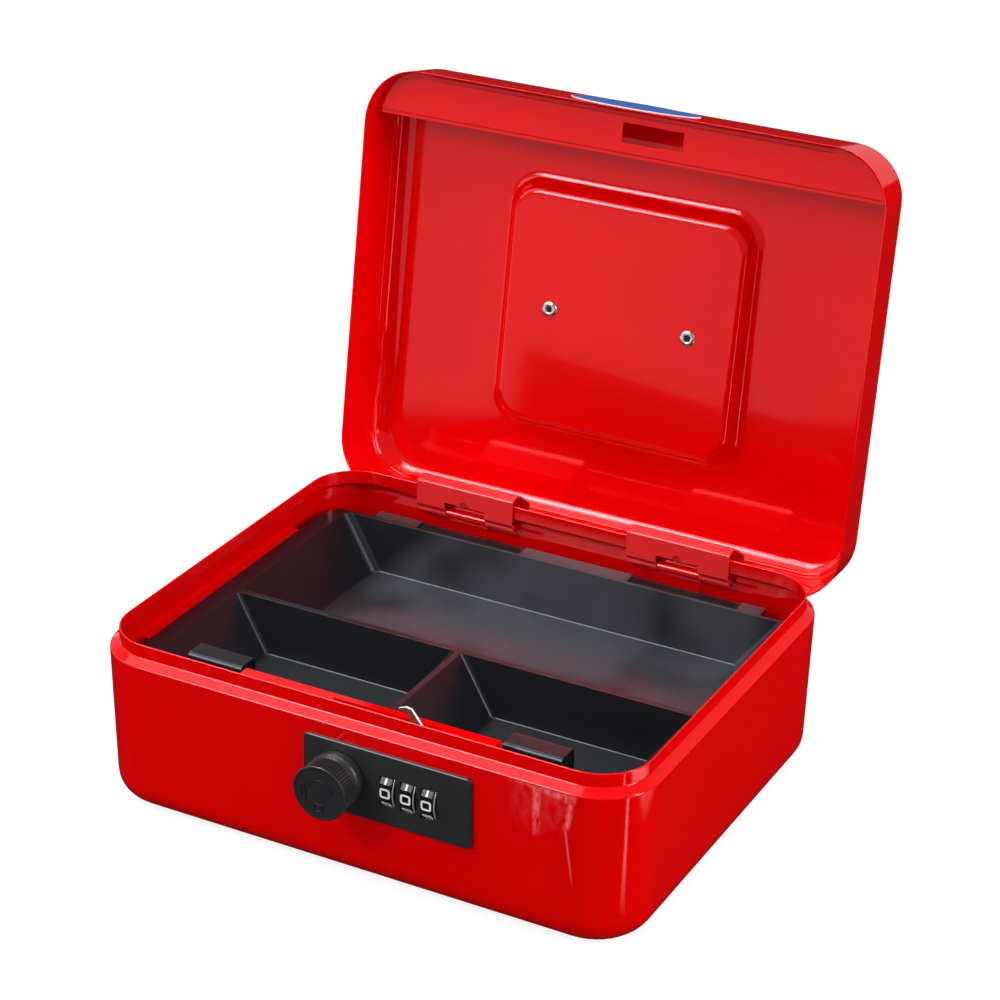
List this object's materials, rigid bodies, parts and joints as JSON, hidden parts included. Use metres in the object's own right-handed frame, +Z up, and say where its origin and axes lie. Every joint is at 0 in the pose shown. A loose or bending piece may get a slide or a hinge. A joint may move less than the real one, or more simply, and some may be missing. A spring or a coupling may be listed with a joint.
{
  "type": "cash box",
  "caption": "Portable steel cash box with a hinged lid, folding carry handle, lift-out coin tray, and a lock with a turning knob and number dials.",
  "frame": {"origin": "centre of the flat base, on the plane it stands on", "axes": "+Z up, +X along the width to the right of someone facing the lock, -Y out of the lock side; the lid is stored open"},
  "size_m": [0.25, 0.2773, 0.2607],
  "materials": {
    "red_paint": "glossy red enamel",
    "lock_black": "satin black",
    "knob_black": "satin black",
    "dial_black": "satin black with white figures",
    "tray_black": "glossy black",
    "zinc_steel": "bright zinc plate",
    "nickel": "nickel plate",
    "spring_steel": "dull",
    "label_blue": "plain blue"
  },
  "bodies": {
    "base": {"body_shell": "red_paint", "front_rail": "red_paint", "lock_plate": "lock_black", "lock_cover": "red_paint", "lock_frame": "zinc_steel", "lock_screws": "zinc_steel", "knob_bush": "knob_black", "dial_axle": "zinc_steel", "detent_spring": "spring_steel", "hinge_base_left": "red_paint", "hinge_base_right": "red_paint", "hinge_pin_left": "zinc_steel", "hinge_pin_right": "zinc_steel", "tray_rest_left": "red_paint", "tray_rest_right": "red_paint"},
    "lid": {"lid_shell": "red_paint", "lid_striker": "red_paint", "hinge_leaf_left": "red_paint", "hinge_leaf_right": "red_paint", "handle_clip_left": "nickel", "handle_clip_right": "nickel", "handle_rivets": "nickel", "lid_label": "label_blue"},
    "handle": {"carry_handle": "nickel"},
    "tray": {"coin_tray": "tray_black", "tray_tab_left": "tray_black", "tray_tab_right": "tray_black"},
    "knob": {"knob": "knob_black", "knob_spindle": "zinc_steel", "lock_cam": "zinc_steel", "cam_nut": "zinc_steel"},
    "latch": {"latch_slide": "zinc_steel"},
    "dial_1": {"dial_wheel_1": "dial_black"},
    "dial_2": {"dial_wheel_2": "dial_black"},
    "dial_3": {"dial_wheel_3": "dial_black"}
  },
  "joints": [
    {"name": "lid_hinge", "type": "hinge", "parent": "base", "child": "lid", "pos_m": [0, 0.097, 0.0666], "axis": [-1, 0, 0], "range_deg": [-98.5, 0]},
    {"name": "handle_swing", "type": "hinge", "parent": "lid", "child": "handle", "pos_m": [0, 0.13936, 0.15177], "axis": [1, 0, 0], "range_deg": [-8, 170]},
    {"name": "tray_lift", "type": "slide", "parent": "base", "child": "tray", "axis": [0, 0, 1], "range_m": [0, 0.07]},
    {"name": "knob_turn", "type": "hinge", "parent": "base", "child": "knob", "pos_m": [-0.0022, -0.11, 0.0488], "axis": [0, 1, 0], "range_deg": [-90, 0]},
    {"name": "latch_shift", "type": "slide", "parent": "base", "child": "latch", "axis": [1, 0, 0], "range_m": [-0.0232, 0]},
    {"name": "dial_1_spin", "type": "hinge", "parent": "base", "child": "dial_1", "pos_m": [0.0195, -0.0918, 0.0474], "axis": [1, 0, 0], "continuous": true},
    {"name": "dial_2_spin", "type": "hinge", "parent": "base", "child": "dial_2", "pos_m": [0.0288, -0.0918, 0.0474], "axis": [1, 0, 0], "continuous": true},
    {"name": "dial_3_spin", "type": "hinge", "parent": "base", "child": "dial_3", "pos_m": [0.0381, -0.0918, 0.0474], "axis": [1, 0, 0], "continuous": true}
  ],
  "couplings": [
    {"joint": "latch_shift", "follows": "knob_turn", "m_per_rad": 0.014675}
  ]
}
